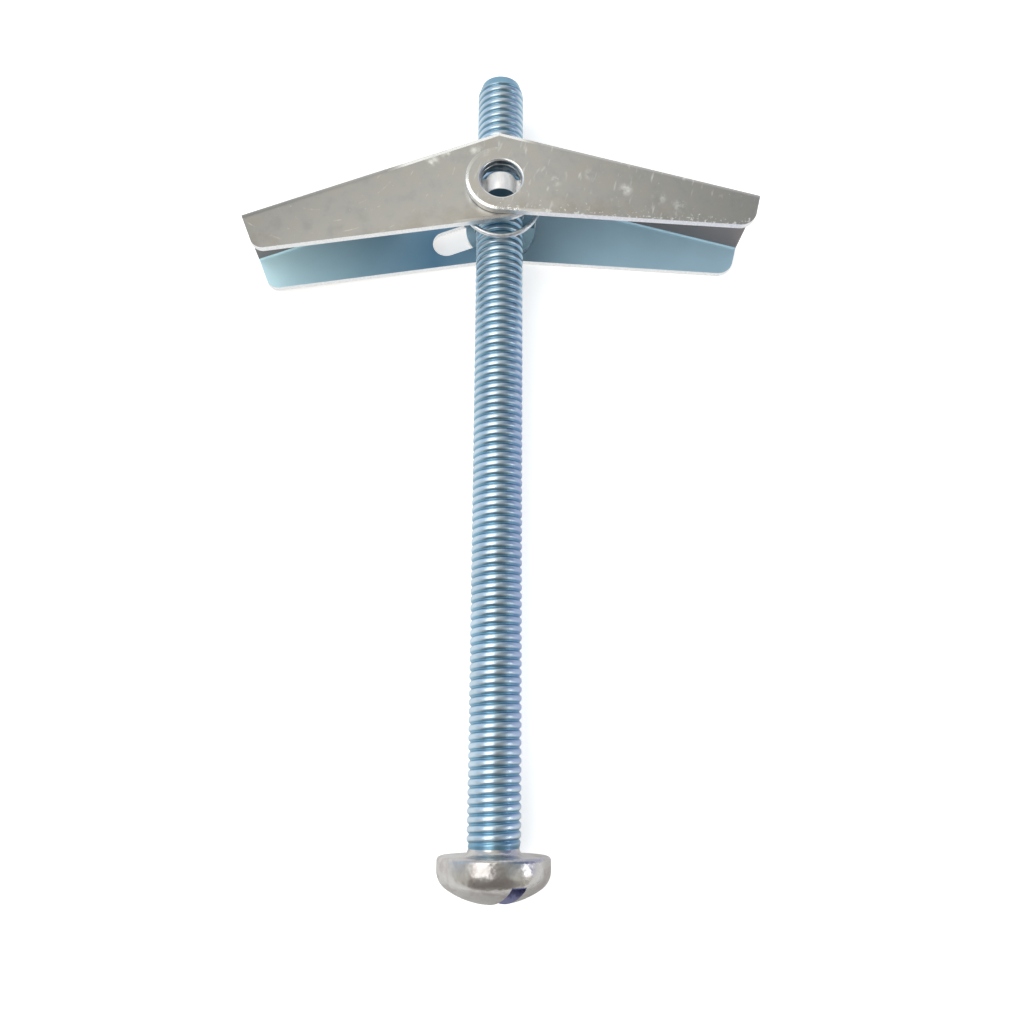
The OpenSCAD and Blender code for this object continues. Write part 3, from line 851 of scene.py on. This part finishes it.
class TOGGLEBOLT_OT_spring(bpy.types.Operator):
    """Winds the torsion spring: its coil stays with the nut, and its legs stay where they are wound, not tied to the
    wings
    """

    bl_idname = "togglebolt.spring"
    bl_label = "Spring"

    def execute(self, context):
        sizes, colours = context.scene.togglebolt_sizes, context.scene.togglebolt_colours
        left, coil, right = spring_paths(sizes)
        material = spring_wire(colours)
        coil_piece = make_tube("spring_coil", coil, sizes.wire / 2, material, cap_start=False, cap_end=False)
        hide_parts("spring")
        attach(coil_piece, "nut_body")
        for name, path, body in (("spring_leg_left", left, "left_wing_body"),
                                 ("spring_leg_right", right, "right_wing_body")):
            leg = make_tube(name, path, sizes.wire / 2, material, cap_start=False)
            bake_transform(leg)
        return {"FINISHED"}


class TOGGLEBOLT_OT_stage(bpy.types.Operator):
    """Lays the white floor, hangs the soft lights and places the camera"""

    bl_idname = "togglebolt.stage"
    bl_label = "Stage"

    def execute(self, context):
        scene = context.scene
        scene.view_settings.view_transform = "Standard"
        self.floor(scene)
        self.world(scene)
        self.lights(scene)
        self.camera(scene)
        return {"FINISHED"}

    def floor(self, scene):
        """Plain white sweep, seen as white but keeping a soft shadow."""
        bm = bmesh.new()
        half_side = 900
        bmesh.ops.create_grid(bm, x_segments=2, y_segments=2, size=half_side)
        bmesh.ops.translate(bm, vec=(0, 40, RIGHT_LOW.z - 0.02), verts=bm.verts)
        material, tree, mm = new_material("matt white paper sweep")
        path = add_node(tree, "LightPath")
        seen = add_node(tree, "Math", {"operation": "MULTIPLY", 1: 0.5}, {0: path.outputs["Is Camera Ray"]})
        mirrored = add_node(tree, "Math", {"operation": "MULTIPLY", 1: 0.85}, {0: path.outputs["Is Glossy Ray"]})
        # what mirrors the sweep sees a painted shadow before the head, standing in for the camera stand's shade
        spot = add_node(tree, "VectorMath", {"operation": "DISTANCE", 1: (8.0, -16.0, RIGHT_LOW.z)}, {0: mm})
        shade = add_node(tree, "MapRange",
                         {"interpolation_type": "SMOOTHSTEP", "From Min": 30.0, "From Max": 8.0},
                         {"Value": spot.outputs["Value"]})
        painted_stand_shadow = add_node(tree, "Mix", {"data_type": "RGBA", 6: (1, 1, 1, 1), 7: linear("#B0AEAC")}, {0: shade})
        # and a painted lavender reflection to the right of the shank, seen only in what mirrors the sweep
        split = add_node(tree, "SeparateXYZ", None, {0: mm})
        right = add_node(tree, "MapRange", {"From Min": 2.0, "From Max": 6.0}, {"Value": split.outputs["X"]})
        beside = add_node(tree, "MapRange", {"From Min": 56.0, "From Max": 50.0}, {"Value": split.outputs["Y"]})
        past_head = add_node(tree, "MapRange", {"From Min": 2.0, "From Max": 8.0}, {"Value": split.outputs["Y"]})
        painted_lavender_cast = add_node(tree, "Math", {"operation": "MULTIPLY"}, {0: right, 1: beside})
        painted_lavender_cast = add_node(tree, "Math", {"operation": "MULTIPLY"}, {0: painted_lavender_cast, 1: past_head})
        painted_reflection_tone = add_node(tree, "Mix", {"data_type": "RGBA", 7: linear("#BCC0DE")},
                                 {0: painted_lavender_cast, 6: painted_stand_shadow.outputs[2]})
        paper = add_node(tree, "BsdfDiffuse", {"Color": scene.togglebolt_colours.floor})
        lift = add_node(tree, "Emission", {"Color": (1, 1, 1, 1)}, {"Strength": seen})
        lifted = add_node(tree, "AddShader", None, {0: paper, 1: lift})
        white = add_node(tree, "Emission", {"Strength": 1.0}, {"Color": painted_reflection_tone.outputs[2]})
        mixed = add_node(tree, "MixShader", None, {0: mirrored, 1: lifted, 2: white})
        add_node(tree, "OutputMaterial", None, {"Surface": mixed})
        floor = new_piece("floor", bm, [material])

    def world(self, scene):
        """A pale studio: daylight to the left, cooler to the right, and the dark shape of the camera overhead."""
        world = bpy.data.worlds.new("pale studio")
        scene.world = world
        world.use_nodes = True
        tree = world.node_tree
        tree.nodes.clear()
        place = add_node(tree, "TexCoord")
        plain = linear("#CFCDC6")
        below = {}
        # each is a direction, how near to it the tone starts and is full (as cosines), and the tone
        for direction, start, full, tone in (
            ((-0.85, 0.55, 0.1), 0.7, 0.97, "#C6DDF8"),
            ((0.85, 0.55, 0.1), 0.6, 0.9, "#8088B8"),
            ((0.66, 0.35, 0.66), 0.86, 0.97, "#70899B"),
            ((0.0, -0.3, 0.95), 0.8, 0.94, "#7E7975"),
            ((0.0, -0.85, 0.5), 0.55, 0.92, "#807A76"),
            ((0.0, 1.0, -0.05), 0.75, 0.95, "#FFFFFF"),
        ):
            way = add_node(tree, "VectorMath", {"operation": "DOT_PRODUCT", 1: Vector(direction).normalized()},
                           {0: place.outputs["Generated"]})
            share = add_node(tree, "MapRange",
                             {"interpolation_type": "SMOOTHSTEP", "From Min": start, "From Max": full},
                             {"Value": way.outputs["Value"]})
            mixed = add_node(tree, "Mix", {"data_type": "RGBA", 6: plain, 7: linear(tone)}, {0: share, **below})
            below = {6: mixed.outputs[2]}
        path = add_node(tree, "LightPath")
        shown = add_node(tree, "Mix", {"data_type": "RGBA", 7: (1, 1, 1, 1)},
                         {0: path.outputs["Is Camera Ray"], **below})
        back = add_node(tree, "Background", {"Strength": 1.0}, {"Color": shown.outputs[2]})
        add_node(tree, "OutputWorld", None, {"Surface": back})

    def lights(self, scene):
        """Soft panels: a long one overhead to the left, a low one to the right and one past the head."""
        middle = Vector((0, 40, 0))
        for name, place, size, radiance, mirrored in (
            ("long panel", (-98, 40, 215), (150, 285), 1.9, True),
            ("right panel", (210, -20, 85), (60, 70), 3.0, True),
            ("head end panel", (0, -190, 150), (260, 110), 3.6, False),
        ):
            data = bpy.data.lights.new(name, "AREA")
            data.shape = "RECTANGLE"
            data.size, data.size_y = size[0] * MM, size[1] * MM
            data.energy = radiance * math.pi * size[0] * size[1] * MM * MM
            lamp = bpy.data.objects.new(name, data)
            lamp.location = Vector(place) * MM
            lamp.visible_glossy = mirrored
            # the lamp's back is its Z, and its long side runs along the screw
            back = (Vector(place) - middle).normalized()
            across = Vector((0, 1, 0)).cross(back).normalized()
            lamp.rotation_euler = Matrix((across, back.cross(across), back)).transposed().to_euler()
            scene.collection.objects.link(lamp)

    def camera(self, scene):
        """Over the head end of the screw, looking down and along it."""
        data = bpy.data.cameras.new("camera")
        data.sensor_width = 36.0
        data.lens = 34.88
        data.clip_start = 0.005
        camera = bpy.data.objects.new("camera", data)
        camera.matrix_world = (
            Matrix.Translation(Vector((-1.786, 6.216, 93.204)) * MM)
            @ Matrix.Rotation(-0.0348, 4, "Y")
            @ Matrix.Rotation(0.2668, 4, "X")
            @ Matrix.Rotation(0.0054, 4, "Z")
        )
        scene.collection.objects.link(camera)
        scene.camera = camera


class TOGGLEBOLT_PT_panel(bpy.types.Panel):
    """Lists the bolt's pieces and sizes"""

    bl_idname = "TOGGLEBOLT_PT_panel"
    bl_label = "Spring Toggle Bolt"
    bl_space_type = "VIEW_3D"
    bl_region_type = "UI"
    bl_category = "Toggle Bolt"

    def draw(self, context):
        for kind in OPERATORS:
            self.layout.operator(kind.bl_idname)
        for group in (context.scene.togglebolt_sizes, context.scene.togglebolt_colours):
            box = self.layout.box()
            for key in group.__annotations__:
                box.prop(group, key)


OPERATORS = (
    TOGGLEBOLT_OT_screw,
    TOGGLEBOLT_OT_nut,
    TOGGLEBOLT_OT_wings,
    TOGGLEBOLT_OT_spring,
    TOGGLEBOLT_OT_stage,
)
CLASSES = (ToggleBoltSizes, ToggleBoltColours) + OPERATORS + (TOGGLEBOLT_PT_panel,)


def register():
    for kind in CLASSES:
        bpy.utils.register_class(kind)
    bpy.types.Scene.togglebolt_sizes = bpy.props.PointerProperty(type=ToggleBoltSizes)
    bpy.types.Scene.togglebolt_colours = bpy.props.PointerProperty(type=ToggleBoltColours)


def unregister():
    del bpy.types.Scene.togglebolt_colours
    del bpy.types.Scene.togglebolt_sizes
    for kind in reversed(CLASSES):
        bpy.utils.unregister_class(kind)


def main():
    register()
    bpy.ops.togglebolt.screw()
    bpy.ops.togglebolt.nut()
    bpy.ops.togglebolt.wings()
    bpy.ops.togglebolt.spring()
    bpy.ops.togglebolt.stage()


if __name__ == "__main__":
    main()
